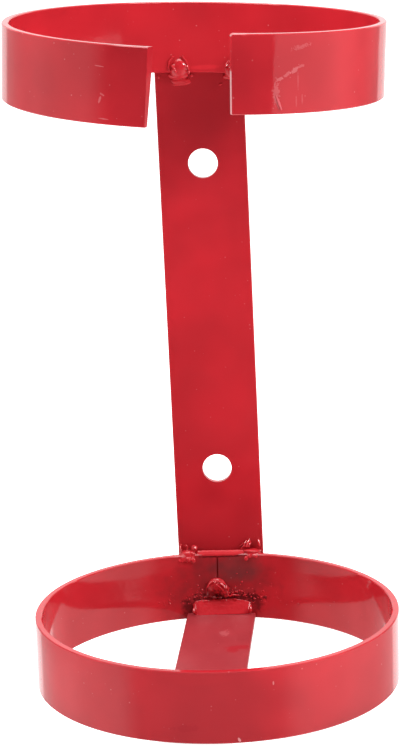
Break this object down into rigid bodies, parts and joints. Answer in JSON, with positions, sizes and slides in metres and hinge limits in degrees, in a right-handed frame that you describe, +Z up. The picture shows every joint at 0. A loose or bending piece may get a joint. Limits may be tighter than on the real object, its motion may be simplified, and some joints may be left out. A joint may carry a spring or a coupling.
{
  "type": "fire extinguisher bracket",
  "caption": "Welded wall bracket: flat back plate with bolt holes, an open sprung collar above, and a closed collar below with a strap across its foot that a cylinder stands on.",
  "frame": {"origin": "on the plate's back face, midway between its two bolt holes", "axes": "+Z up along the plate through both holes, +Y out of the plate's back face into the wall, +X to the right seen from the front"},
  "size_m": [0.1626, 0.163, 0.2946],
  "materials": {
    "bar_enamel": "gloss red enamel on flat bar",
    "weld_enamel": "gloss red enamel over weld metal"
  },
  "bodies": {
    "root": {"back_plate": "bar_enamel", "upper_ring": "bar_enamel", "lower_ring": "bar_enamel", "base_strap": "bar_enamel", "upper_left_weld": "weld_enamel", "upper_right_weld": "weld_enamel", "lower_left_weld": "weld_enamel", "lower_right_weld": "weld_enamel", "seam_weld": "weld_enamel", "strap_rear_weld": "weld_enamel", "strap_front_weld": "weld_enamel"}
  },
  "joints": []
}
